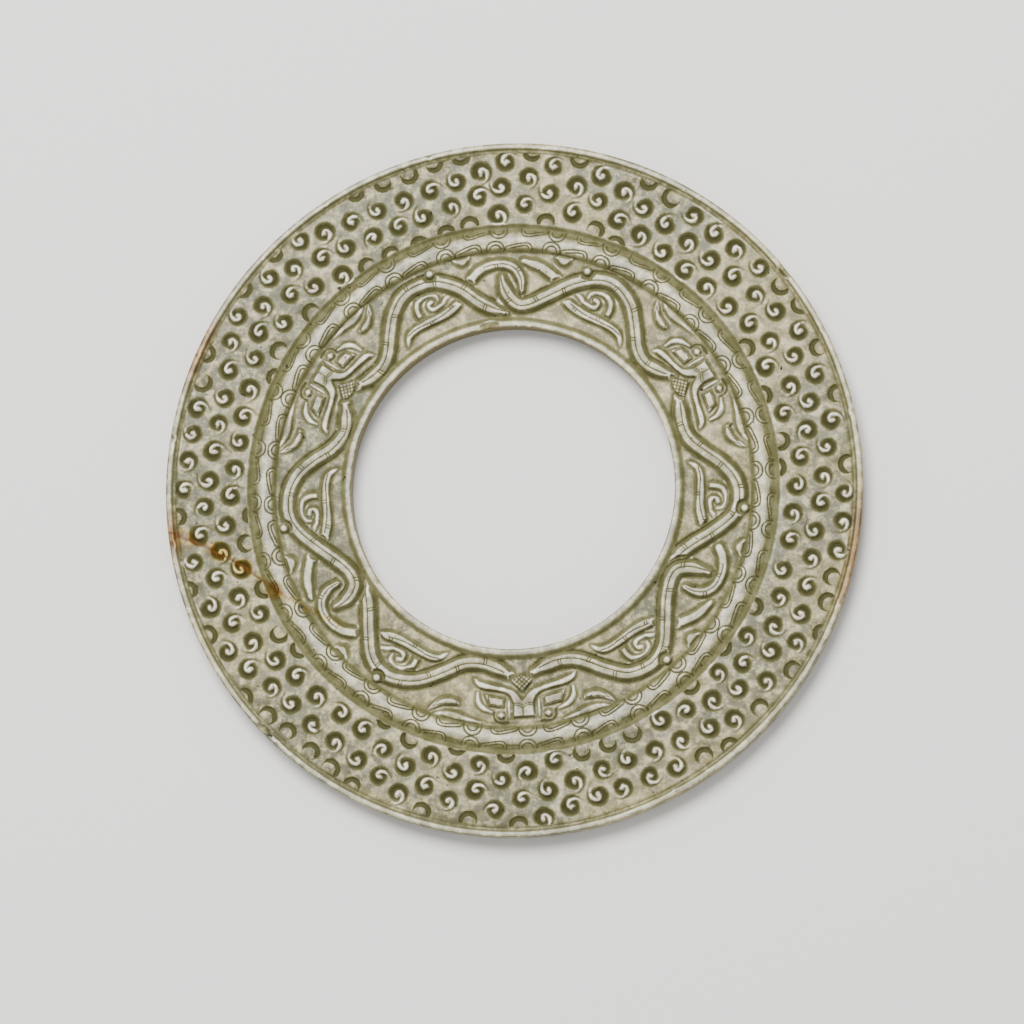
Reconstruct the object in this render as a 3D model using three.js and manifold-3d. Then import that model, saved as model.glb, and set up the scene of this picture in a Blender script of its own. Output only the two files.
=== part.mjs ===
// A jade bi disc: a flat ring of nephrite with a carved face. From the hole outward the face has a plain
// inner rim, a sunk band with three horned masks whose snake-like bodies knot together, a rounded moulding,
// a wide field of grain whorls laid on a hexagonal grid, and a plain outer rim. The back is plainer.
// Millimetres, +Z up. The origin is the centre of the underside, on the axis of the hole.

import * as THREE from "three";
import { mergeVertices } from "three/addons/utils/BufferGeometryUtils.js";
import Module from "manifold-3d";

const wasm = await Module();
wasm.setup();

// Driving dimensions of the turned ring.
const OUTER_RADIUS = 83;
const HOLE_RADIUS = 38.6;
const THICKNESS = 6.8;
const ROUND_SEGMENTS = 64;
const EDGE_CHAMFER = 0.35;

// Radii where the zones of the face meet.
const INNER_RIM_END = 39.9;
const SUNK_BAND_START = 41;
const SUNK_BAND_END = 56.8;
const MOULDING_START = 57.3;
const MOULDING_CREST = 59.4;
const MOULDING_END = 62.7;
const GRAIN_FIELD_START = 63.4;
const GRAIN_FIELD_END = 80.9;
const OUTER_RIM_START = 81.5;

// Heights of the zones above the underside, and how deep the grooves between them are.
const INNER_RIM_Z = THICKNESS - 0.1;
const SUNK_BAND_Z = 5.6;
const MOULDING_EDGE_Z = 5.95;
const MOULDING_CREST_Z = 6.65;
const MOULDING_FLANK_Z = 6.55;
const GRAIN_FIELD_Z = 6.35;
const GROOVE_DEPTH = 0.35;

// Directions of the three masks, in degrees anticlockwise from +X, as unevenly spaced as the carver left
// them. The relief's outlines are drawn for masks whose half spacing is DRAWN_HALF_GAP degrees.
const MASK_ANGLES = [30.7, -87.3, 148.7];
const DRAWN_HALF_GAP = 59;

// Heights of the relief's tops: what passes over another piece stands a little higher.
const OVER_Z = 6.6;
const UNDER_Z = 6.4;
const LOW_Z = 6.2;
const WIDE_SLOPE = 0.8;
const FINE_SLOPE = 0.4;
const ROOT_DEPTH = 0.4;
const ROOT_BURIED = 0.1;

// Grain whorls: a hexagonal grid of low six-sided cones with a snail's outline. Each one's radius is cut by
// GRAIN_SNAIL_STEP at its start and grows back to the whole radius as the outline goes round.
const GRAIN_PITCH = 6.68;
const GRAIN_ROW_ANGLE = THREE.MathUtils.degToRad(20.5);
const GRAIN_GRID_X = -3.13;
const GRAIN_GRID_Y = -2.16;
const GRAIN_RISE = 0.45;
const GRAIN_ROOT = 0.1;
const GRAIN_SIDES = 6;
const GRAIN_RADIUS = 2.3;
const GRAIN_SNAIL_STEP = 0.35;
const GRAIN_SNAIL_START = 0.1;
const GRAIN_EDGE_GAP = 1.9;
const GRAIN_TURN_STEP = 2.4;

// Edges shorter than this, left where carved shapes meet the turned ring, are closed up.
const SLIVER = 0.02;

// ---- Joining ----

function solidOf(geometry) {
  const bare = geometry.index ? geometry.toNonIndexed() : geometry;
  bare.deleteAttribute("normal");
  bare.deleteAttribute("uv");
  const merged = mergeVertices(bare, 1e-4);
  return new wasm.Manifold(new wasm.Mesh({
    numProp: 3,
    vertProperties: new Float32Array(merged.attributes.position.array),
    triVerts: new Uint32Array(merged.index.array),
  }));
}

function geometryOf(solid) {
  const mesh = solid.getMesh();
  const geometry = new THREE.BufferGeometry();
  geometry.setAttribute("position", new THREE.BufferAttribute(mesh.vertProperties, 3));
  geometry.setIndex(new THREE.BufferAttribute(mesh.triVerts, 1));
  geometry.computeVertexNormals();
  return geometry;
}

// ---- The turned ring ----

// The closed profile runs up the outer edge, inward across the face, down the hole and back underneath.
function ringProfile() {
  const mouldingFlank = (MOULDING_CREST + MOULDING_END) / 2;
  const rimGroove = (GRAIN_FIELD_END + OUTER_RIM_START) / 2;
  const profile = [
    [OUTER_RADIUS, EDGE_CHAMFER],
    [OUTER_RADIUS, THICKNESS - EDGE_CHAMFER],
    [OUTER_RADIUS - EDGE_CHAMFER, THICKNESS],
    [OUTER_RIM_START, THICKNESS],
    [rimGroove, GRAIN_FIELD_Z - GROOVE_DEPTH],
    [GRAIN_FIELD_END, GRAIN_FIELD_Z],
    [GRAIN_FIELD_START, GRAIN_FIELD_Z],
    [MOULDING_END, MOULDING_EDGE_Z],
    [mouldingFlank, MOULDING_FLANK_Z],
    [MOULDING_CREST, MOULDING_CREST_Z],
    [MOULDING_START, MOULDING_EDGE_Z],
    [SUNK_BAND_END, SUNK_BAND_Z],
    [SUNK_BAND_START, SUNK_BAND_Z],
    [INNER_RIM_END, INNER_RIM_Z],
    [HOLE_RADIUS + EDGE_CHAMFER, INNER_RIM_Z],
    [HOLE_RADIUS, INNER_RIM_Z - EDGE_CHAMFER],
    [HOLE_RADIUS, EDGE_CHAMFER],
    [HOLE_RADIUS + EDGE_CHAMFER, 0],
    [OUTER_RADIUS - EDGE_CHAMFER, 0],
  ];
  return [...profile, profile[0]].map(([r, z]) => new THREE.Vector2(r, z));
}

function turnedRing() {
  const lathe = new THREE.LatheGeometry(ringProfile(), ROUND_SEGMENTS);
  lathe.rotateX(Math.PI / 2);
  return solidOf(lathe);
}

// ---- Raised shapes on the sunk band ----

// A shape with the given outline for its flat top, and sides that slope out to the sunk band.
function raised(outline, topZ, slope) {
  const rise = topZ - SUNK_BAND_Z + ROOT_BURIED;
  const geometry = new THREE.ExtrudeGeometry(new THREE.Shape(outline), {
    depth: ROOT_DEPTH,
    bevelThickness: rise,
    bevelSize: slope,
    bevelSegments: 1,
  });
  geometry.translate(0, 0, topZ - rise - ROOT_DEPTH);
  return solidOf(geometry);
}

// The outline of a strap along a smooth line, which narrows to its end widths over the last stations.
function strapOutline(points, width, stations, startWidth = width, endWidth = width) {
  const corners = points.map((p) => new THREE.Vector3(p.x, p.y, 0));
  const line = new THREE.CatmullRomCurve3(corners, false, "centripetal");
  const taperStations = 4;
  const left = [];
  const right = [];
  for (let i = 0; i <= stations; i += 1) {
    const at = line.getPointAt(i / stations);
    const tangent = line.getTangentAt(i / stations);
    const fromStart = THREE.MathUtils.lerp(startWidth, width, Math.min(i / taperStations, 1));
    const fromEnd = THREE.MathUtils.lerp(endWidth, width, Math.min((stations - i) / taperStations, 1));
    const half = Math.min(fromStart, fromEnd) / 2;
    left.push(new THREE.Vector2(at.x - tangent.y * half, at.y + tangent.x * half));
    right.unshift(new THREE.Vector2(at.x + tangent.y * half, at.y - tangent.x * half));
  }
  return [...left, ...right];
}

// Turns [degrees, radius] pairs into points. The degrees run clockwise from a mask or a knot, or
// anticlockwise on the mirrored side, and are stretched to fit the real gap between two masks.
function lay(pairs, centreAngle, side, stretch) {
  return pairs.map(([degrees, radius]) => {
    const angle = THREE.MathUtils.degToRad(centreAngle - side * stretch * degrees);
    return new THREE.Vector2(radius * Math.cos(angle), radius * Math.sin(angle));
  });
}

// ---- One half of a mask, its snake body and its limb ----

const BODY_WIDTH = 2.9;
const CURL_WIDTH = 0.9;
const KNOB_RADIUS = 1.3;
const KNOB_Z = 6.75;
const BODY_STATIONS = { tucked: 14, hooked: 18 };

const BODY_START = [
  [3.5, 44.6], [8, 42.8], [13, 42.6], [18, 44], [22, 46.6], [27, 50], [32, 53], [36.5, 53.8], [40, 53.5],
];
const BODY_TUCKED_END = [[43, 52], [48, 48.5], [54, 44.6], [57.5, 42.9]];
const BODY_HOOKED_END = [[43, 52], [48, 48.5], [52, 45.6], [56, 43.8], [59.5, 44.3], [62, 46.5], [63, 49.5]];

const LIMB = [
  [44.5, 46], [40, 44.8], [36, 44.4], [33, 44.9], [30, 45.6], [26, 45], [24, 43.5], [23, 41.9],
  [26.5, 43.2], [30, 43.7], [35, 42.8], [39, 42.6], [43, 43.7],
];
const LIMB_CURL = [[33.6, 46], [32.8, 47.6], [33.8, 49.4], [36, 50.3], [38, 49.7], [38.6, 48.8]];
const LIMB_TAIL = [[36.2, 48.4], [36.4, 47.4], [38, 46.8], [40.5, 47.6], [42.5, 48.6]];

const EYE = [[10.8, 49.7], [9.7, 52.2], [5.2, 52.2], [5.4, 50.3]];
const EYELID = [[13.1, 49.6], [12.6, 51.8], [11, 53.5], [8.2, 54.2]];
const EAR = [[8, 56.3], [12, 55.7], [14.9, 54], [16.2, 52.2], [18.7, 51.4], [21.6, 52.9], [23, 56.3]];
const NOSTRIL_PLACE = [5.6, 54.3];
const KNOB_PLACE = [38, 55];

function knob(at, radius, topZ) {
  const outline = new THREE.Shape().absarc(at.x, at.y, radius, 0, 2 * Math.PI).getPoints(3);
  return raised(outline.slice(0, -1), topZ, FINE_SLOPE);
}

function halfMask(maskAngle, side, stretch) {
  const laid = (pairs) => lay(pairs, maskAngle, side, 1);
  const laidToKnot = (pairs) => lay(pairs, maskAngle, side, stretch);
  const hooked = side < 0;
  const bodyEnd = hooked ? BODY_HOOKED_END : BODY_TUCKED_END;
  const body = laidToKnot([...BODY_START, ...bodyEnd]);
  const bodyStations = hooked ? BODY_STATIONS.hooked : BODY_STATIONS.tucked;
  return [
    raised(strapOutline(body, BODY_WIDTH, bodyStations, 1, 1.6), hooked ? OVER_Z : UNDER_Z, WIDE_SLOPE),
    raised(laidToKnot(LIMB), LOW_Z, FINE_SLOPE),
    raised(strapOutline(laidToKnot(LIMB_CURL), CURL_WIDTH, 6, CURL_WIDTH, 0.5), LOW_Z, FINE_SLOPE),
    raised(strapOutline(laidToKnot(LIMB_TAIL), CURL_WIDTH, 4, CURL_WIDTH, 0.5), LOW_Z, FINE_SLOPE),
    raised(laid(EYE), UNDER_Z, FINE_SLOPE),
    raised(strapOutline(laid(EYELID), CURL_WIDTH, 4, 0.5, 0.5), LOW_Z, FINE_SLOPE),
    raised(laid(EAR), LOW_Z, FINE_SLOPE),
    knob(laid([NOSTRIL_PLACE])[0], KNOB_RADIUS / 2, UNDER_Z),
    knob(laidToKnot([KNOB_PLACE])[0], KNOB_RADIUS, KNOB_Z),
  ];
}

// ---- The middle of a mask: brows that meet in a muzzle, and the forehead lozenge above them ----

const BROW_HALF = [
  [3.1, 56], [3.1, 50.6], [5, 48.8], [10, 48.6], [13.3, 48.4], [14.8, 46.2], [10, 46.5], [6, 47], [3.2, 48],
];
const BROW_NOTCH = [0, 50.2];
const LOZENGE_HALF = [[3.3, 46], [2, 47.5]];
const LOZENGE_TOP = [0, 44.6];
const LOZENGE_TIP = [0, 49.6];

function mirrored(pairs) {
  return pairs.map(([degrees, radius]) => [-degrees, radius]).reverse();
}

function maskMiddle(maskAngle) {
  const brows = [...BROW_HALF, BROW_NOTCH, ...mirrored(BROW_HALF)];
  const lozenge = [LOZENGE_TOP, ...LOZENGE_HALF, LOZENGE_TIP, ...mirrored(LOZENGE_HALF)];
  return [
    raised(lay(brows, maskAngle, 1, 1), OVER_Z, FINE_SLOPE),
    raised(lay(lozenge, maskAngle, 1, 1), LOW_Z, FINE_SLOPE),
  ];
}

// ---- What joins two bodies at a knot: an arch over the hooked tip, a tail beyond it, and two leaves ----

const ARCH_WIDTH = 2.2;
const ARCH_Z = 6.7;
const ARCH = [[-9.6, 52.2], [-7, 53.1], [-4, 53.7], [-0.5, 53.6], [2, 52.3], [3.5, 50.2], [3.3, 47.9]];
const TAIL = [[4.6, 54.2], [7, 53.6], [10, 52.2]];
const LEAVES = [
  [[-14.6, 56.6], [-13.4, 55], [-12, 54.5], [-10.8, 55], [-9.8, 56.6]],
  [[10.2, 56.6], [11.6, 55], [13, 54.4], [14.2, 54.8], [15.4, 56.6]],
];

function knotMiddle(knotAngle) {
  const laid = (pairs) => lay(pairs, knotAngle, 1, 1);
  return [
    raised(strapOutline(laid(ARCH), ARCH_WIDTH, 8, 1.6, 1.4), ARCH_Z, FINE_SLOPE),
    raised(strapOutline(laid(TAIL), ARCH_WIDTH, 4, 1.2, ARCH_WIDTH), LOW_Z, FINE_SLOPE),
    ...LEAVES.map((leaf) => raised(laid(leaf), LOW_Z, FINE_SLOPE)),
  ];
}

// The masks are listed clockwise, so each one's clockwise neighbour is the next in the list.
function relief() {
  const halfGap = (from, to) => THREE.MathUtils.euclideanModulo(from - to, 360) / 2;
  const count = MASK_ANGLES.length;
  return MASK_ANGLES.flatMap((maskAngle, i) => {
    const gapAfter = halfGap(maskAngle, MASK_ANGLES[(i + 1) % count]);
    const gapBefore = halfGap(MASK_ANGLES[(i + count - 1) % count], maskAngle);
    return [
      ...halfMask(maskAngle, 1, gapAfter / DRAWN_HALF_GAP),
      ...halfMask(maskAngle, -1, gapBefore / DRAWN_HALF_GAP),
      ...maskMiddle(maskAngle),
      ...knotMiddle(maskAngle - gapAfter),
    ];
  });
}

// ---- The grain field ----

// How far round an angle lies, as a share of a whole turn from 0 to 1.
function shareOfTurn(angle) {
  return THREE.MathUtils.euclideanModulo(angle, 2 * Math.PI) / (2 * Math.PI);
}

// One whorl: a low six-sided cone whose radius grows with the angle, so that it steps like a snail.
function grain(x, y, turn) {
  const height = GRAIN_RISE + GRAIN_ROOT;
  const geometry = new THREE.ConeGeometry(GRAIN_RADIUS, height, GRAIN_SIDES);
  geometry.rotateX(Math.PI / 2);
  const position = geometry.attributes.position;
  for (let i = 0; i < position.count; i += 1) {
    const angle = Math.atan2(position.getY(i), position.getX(i));
    const kept = 1 - GRAIN_SNAIL_STEP * (1 - shareOfTurn(angle + GRAIN_SNAIL_START));
    position.setXY(i, position.getX(i) * kept, position.getY(i) * kept);
  }
  geometry.rotateZ(turn);
  geometry.translate(x, y, GRAIN_FIELD_Z + GRAIN_RISE - height / 2);
  return solidOf(geometry);
}

function grainField() {
  const grains = [];
  const reach = Math.ceil(2 * OUTER_RADIUS / GRAIN_PITCH);
  const rowAngle = GRAIN_ROW_ANGLE + Math.PI / 3;
  for (let row = -reach; row <= reach; row += 1) {
    for (let column = -reach; column <= reach; column += 1) {
      const x = GRAIN_GRID_X + GRAIN_PITCH * (column * Math.cos(GRAIN_ROW_ANGLE) + row * Math.cos(rowAngle));
      const y = GRAIN_GRID_Y + GRAIN_PITCH * (column * Math.sin(GRAIN_ROW_ANGLE) + row * Math.sin(rowAngle));
      const radius = Math.hypot(x, y);
      if (radius > GRAIN_FIELD_START + GRAIN_EDGE_GAP && radius < GRAIN_FIELD_END - GRAIN_EDGE_GAP) {
        grains.push(grain(x, y, (column + 2 * row) * GRAIN_TURN_STEP));
      }
    }
  }
  return grains;
}

// ---- The whole disc ----

const carving = [...relief(), ...grainField()];
const discSolid = carving.reduce((whole, piece) => whole.add(piece), turnedRing()).simplify(SLIVER);
const jade = new THREE.MeshStandardMaterial({ color: 0x9da587, roughness: 0.35, metalness: 0 });
const disc = new THREE.Mesh(geometryOf(discSolid), jade);
disc.name = "bi_disc";

const object = new THREE.Group();
object.add(disc);

export default object;
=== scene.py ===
# A jade bi disc lying face up: a flat ring of nephrite with a carved face, worn and stained by burial.
# Lengths in the carving's sections are millimetres, heights are measured up from the underside, and the
# frame's metres are reached only where the mesh is built.

import math

import bpy
import numpy as np
from mathutils import Matrix, Vector


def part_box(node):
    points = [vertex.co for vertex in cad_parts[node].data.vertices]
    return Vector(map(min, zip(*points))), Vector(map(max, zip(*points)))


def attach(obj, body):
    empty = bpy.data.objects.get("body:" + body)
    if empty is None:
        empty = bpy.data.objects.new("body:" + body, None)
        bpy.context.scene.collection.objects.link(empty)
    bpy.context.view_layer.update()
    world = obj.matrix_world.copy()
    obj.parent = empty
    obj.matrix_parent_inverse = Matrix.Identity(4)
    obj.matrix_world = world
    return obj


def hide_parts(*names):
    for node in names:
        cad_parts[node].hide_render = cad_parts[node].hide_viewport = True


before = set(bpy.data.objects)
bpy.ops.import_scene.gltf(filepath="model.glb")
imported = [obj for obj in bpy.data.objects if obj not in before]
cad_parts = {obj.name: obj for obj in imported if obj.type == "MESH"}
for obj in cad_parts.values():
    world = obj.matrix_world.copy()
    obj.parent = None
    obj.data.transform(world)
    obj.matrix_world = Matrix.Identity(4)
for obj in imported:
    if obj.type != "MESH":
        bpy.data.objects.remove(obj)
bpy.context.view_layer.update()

MM = 0.001

# ---- The blank: a turned ring of jade ----
# The disc is one slab of nephrite, sawn flat, drilled through and turned with abrasive on a wheel. The
# wheel left it with a rim at the hole, a sunk band, a rounded moulding, a wide plain field and an outer
# rim.

disc_low, disc_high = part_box("bi_disc")
OUTER_RADIUS = (disc_high[0] - disc_low[0]) / 2 / MM
THICKNESS = (disc_high[2] - disc_low[2]) / MM
HOLE_RADIUS = 38.6
SUNK_Z = 5.6
FIELD_Z = 6.35

# The face is kept as heights on a grid of rows from the hole outward and columns around the ring.
COLUMNS = 2600
FACE_ROW_STEP = 0.15

# Radius and height of the turned face, from the hole outward.
FACE_PROFILE = [
    (HOLE_RADIUS, 6.45), (38.8, 6.64), (39.1, 6.7), (39.5, 6.67), (39.9, 6.58), (40.3, 6.38), (40.6, 6.06),
    (40.9, 5.74), (41.15, 5.62), (41.4, SUNK_Z),
    (55.8, SUNK_Z), (56.2, 5.48), (56.6, 5.45), (56.9, 5.75), (57.2, 6.15), (57.6, 6.42), (58.1, 6.58),
    (58.7, 6.66), (59.7, 6.64), (60.4, 6.57), (61.0, 6.43), (61.5, 6.22), (61.85, 5.98), (62.15, 5.78),
    (62.4, 5.67), (62.6, 5.65), (62.8, 5.74), (63.05, 5.96), (63.3, 6.2), (63.6, 6.33), (63.9, FIELD_Z),
    (80.2, FIELD_Z), (80.6, 6.24), (80.8, 6.1), (81.0, 6.12), (81.15, 6.22), (81.3, 6.13), (81.5, 6.45),
    (81.7, 6.68), (82.0, 6.76), (82.5, 6.72), (82.8, 6.6), (OUTER_RADIUS, 6.35),
]
LATHE_WANDER = 0.09
WANDER_WAVES = range(2, 7)


def eased(share):
    """A share from 0 to 1, flattened at both ends."""
    share = np.clip(share, 0.0, 1.0)
    return share * share * (3.0 - 2.0 * share)


def slow_waves(angle, seed, size):
    """A wandering value of the given size around the ring, as a hand leaves it."""
    random = np.random.default_rng(seed)
    total = np.zeros_like(angle)
    for waves in WANDER_WAVES:
        total += random.uniform(0.4, 1.0) * np.sin(waves * angle + random.uniform(0.0, 2.0 * math.pi))
    return size * total / math.sqrt(len(WANDER_WAVES))


face_rows = int(round((OUTER_RADIUS - HOLE_RADIUS) / FACE_ROW_STEP)) + 1
row_radius = np.linspace(HOLE_RADIUS, OUTER_RADIUS, face_rows)
column_angle = np.arange(COLUMNS) * 2.0 * math.pi / COLUMNS
face_x = row_radius[:, None] * np.cos(column_angle)[None, :]
face_y = row_radius[:, None] * np.sin(column_angle)[None, :]

profile_radius, profile_z = (np.array(values) for values in zip(*FACE_PROFILE))
lathe_wander = slow_waves(column_angle, 3, LATHE_WANDER)[None, :]
face_z = np.interp(row_radius[:, None] + lathe_wander, profile_radius, profile_z)


# ---- The sunk band: three masks whose bodies knot together ----
# Each mask faces outward, and a snake body leaves each side of its forehead and swings out and back, until
# it tucks under the next mask's, which hooks back on itself. All of it was ground out of the stone with
# small wheels and points fed with abrasive sand, so each form stands in a groove of its own.

BAND_START = 41.25
BAND_END = 57.0

# The groove around a form: its floor, the slope and width of its bevel, the slope of its outer wall, and
# how far from the form it can reach.
GROOVE_Z = SUNK_Z - 0.24
GROOVE_BEVEL = 0.42
GROOVE_WIDTH = 0.6
GROOVE_WALL = 2.2
GROOVE_REACH = 1.2

# How far beside a cut line the face is looked at, and a distance farther than anything on the disc.
LINE_MARGIN = 0.3
FAR = 1e9

# Depth of the fine cut lines, kept apart from the forms they are cut into until the carving is done.
cut_depth = np.zeros_like(face_z)


def polar_point(degrees, radius):
    """A point of the face, from an angle anticlockwise from +X and a radius."""
    angle = math.radians(degrees)
    return np.array([radius * math.cos(angle), radius * math.sin(angle)])


def near(points, margin):
    """The rows and columns of the face within a margin of some points, as index arrays."""
    points = np.asarray(points)
    radii = np.hypot(points[:, 0], points[:, 1])
    first = max(int(np.searchsorted(row_radius, radii.min() - margin)) - 1, 0)
    last = min(int(np.searchsorted(row_radius, radii.max() + margin)) + 1, face_rows)
    middle = math.atan2(points[:, 1].mean(), points[:, 0].mean())
    angles = np.arctan2(points[:, 1], points[:, 0]) - middle
    angles = (angles + math.pi) % (2.0 * math.pi) - math.pi
    spread = margin / radii.min()
    step = 2.0 * math.pi / COLUMNS
    low = int(math.floor((middle + angles.min() - spread) / step))
    high = int(math.ceil((middle + angles.max() + spread) / step))
    columns = np.arange(low, high + 1) % COLUMNS
    return np.ix_(np.arange(first, last), columns)


def length_of(line):
    """The length of a line through points."""
    return np.hypot(*np.diff(line, axis=0).T).sum()


def smooth_line(points, step=0.4):
    """A smooth line through the points, as evenly spaced points (a Catmull-Rom curve)."""
    points = np.asarray(points, dtype=float)
    padded = np.vstack([2 * points[0] - points[1], points, 2 * points[-1] - points[-2]])
    pieces = []
    for before, start, end, after in zip(padded, padded[1:], padded[2:], padded[3:]):
        share = np.linspace(0.0, 1.0, 13)[:-1, None]
        pieces.append(0.5 * (
            2 * start + (end - before) * share
            + (2 * before - 5 * start + 4 * end - after) * share**2
            + (3 * start - before - 3 * end + after) * share**3
        ))
    line = np.vstack(pieces + [padded[-2][None, :]])
    lengths = np.concatenate([[0.0], np.cumsum(np.hypot(*np.diff(line, axis=0).T))])
    count = max(int(round(lengths[-1] / step)), 2)
    at = np.linspace(0.0, lengths[-1], count + 1)
    return np.column_stack([np.interp(at, lengths, line[:, 0]), np.interp(at, lengths, line[:, 1])])


def from_line(line, x, y):
    """Distance from a line, signed distance (left positive) and length along it, for each place."""
    best = np.full(x.shape, FAR)
    side = np.zeros(x.shape)
    along = np.zeros(x.shape)
    travelled = 0.0
    for start, end in zip(line, line[1:]):
        step = end - start
        length = math.hypot(*step)
        share = ((x - start[0]) * step[0] + (y - start[1]) * step[1]) / length**2
        share = np.clip(share, 0.0, 1.0)
        away_x = x - start[0] - share * step[0]
        away_y = y - start[1] - share * step[1]
        distance = np.hypot(away_x, away_y)
        closer = distance < best
        best = np.where(closer, distance, best)
        side = np.where(closer, np.sign(step[0] * away_y - step[1] * away_x) * distance, side)
        along = np.where(closer, travelled + share * length, along)
        travelled += length
    return best, side, along


def inside_outline(outline, x, y):
    """Distance in from a closed outline, negative outside it."""
    closed = np.vstack([outline, outline[:1]])
    distance, _, _ = from_line(closed, x, y)
    crossings = np.zeros(x.shape, dtype=int)
    for (x0, y0), (x1, y1) in zip(closed, closed[1:]):
        if y0 != y1:
            spans = (y0 > y) != (y1 > y)
            crossings += spans & (x < x0 + (y - y0) * (x1 - x0) / (y1 - y0))
    return np.where(crossings % 2 == 1, distance, -distance)


def lay(window, inward, form, drawn=True):
    """Set a raised form into the band, in its own groove. The rim and the moulding are never cut."""
    outside = np.maximum(-inward, 0.0)
    groove = GROOVE_Z + GROOVE_BEVEL * outside + GROOVE_WALL * np.maximum(outside - GROOVE_WIDTH, 0.0)
    height = np.where(inward > 0.0, form, np.minimum(face_z[window], groove))
    from_hole = np.hypot(face_x[window], face_y[window])
    in_band = (from_hole > BAND_START) & (from_hole < BAND_END) & drawn
    face_z[window] = np.where(in_band, height, face_z[window])
    cut_depth[window] = np.where(in_band & (outside < GROOVE_WIDTH), 0.0, cut_depth[window])


def raise_strap(line, half_width, crest, slope, taper, begin=0.0, sag=0.1):
    """A long rounded body along a line. Taper is its share of width at its start and end, and the length
    over which it gets there."""
    window = near(line, half_width + GROOVE_REACH)
    distance, side, along = from_line(line, face_x[window], face_y[window])
    total = length_of(line)
    start_share, end_share, reach = taper
    width = half_width * np.minimum(
        start_share + (1.0 - start_share) * eased(along / reach),
        end_share + (1.0 - end_share) * eased((total - along) / reach),
    )
    rise = eased((width - distance) / np.minimum(slope, width))
    body = GROOVE_Z + (crest - GROOVE_Z) * rise - sag * (distance / half_width) ** 2
    drawn = along >= begin
    lay(window, width - distance, body, drawn)
    return window, distance, side, along, drawn


def raise_shape(outline, crest, slope, pillow=0.0):
    """A flat or slightly pillowed shape with sloping sides."""
    window = near(outline, GROOVE_REACH)
    inward = inside_outline(outline, face_x[window], face_y[window])
    swell = pillow * np.clip(inward / (2.5 * slope), 0.0, 1.0)
    lay(window, inward, GROOVE_Z + (crest - GROOVE_Z) * eased(inward / slope) + swell)
    return window, inward


def raise_knob(centre, radius, crest):
    """A round knob with a flattened top."""
    window = near([centre], radius + GROOVE_REACH)
    distance = np.hypot(face_x[window] - centre[0], face_y[window] - centre[1])
    dome = np.sqrt(np.clip(1.0 - (distance / radius) ** 4, 0.0, 1.0))
    lay(window, radius - distance, GROOVE_Z + (crest - GROOVE_Z) * dome)


def score(window, gap, half_width, depth, where=True):
    """A cut line of V section, wherever the gap to its middle is less than its half width."""
    share = np.clip(1.0 - np.abs(gap) / half_width, 0.0, 1.0)
    cut_depth[window] = np.maximum(cut_depth[window], np.where(where, depth * share * (2.0 - share), 0.0))


def score_line(line, half_width, depth):
    """A cut line along a line of the face."""
    window = near(line, half_width + LINE_MARGIN)
    distance, _, _ = from_line(line, face_x[window], face_y[window])
    score(window, distance, half_width, depth)


def laid(pairs, centre, side=1, stretch=1.0):
    """Points from angles clockwise of a centre line (mirrored for side -1) and radii."""
    return np.array([polar_point(centre - side * stretch * degrees, radius) for degrees, radius in pairs])


def outline_of(sides, centre, side=1, stretch=1.0):
    """A closed outline of smooth sides that meet in sharp corners."""
    return np.vstack([smooth_line(laid(points, centre, side, stretch))[:-1] for points in sides])


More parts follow.
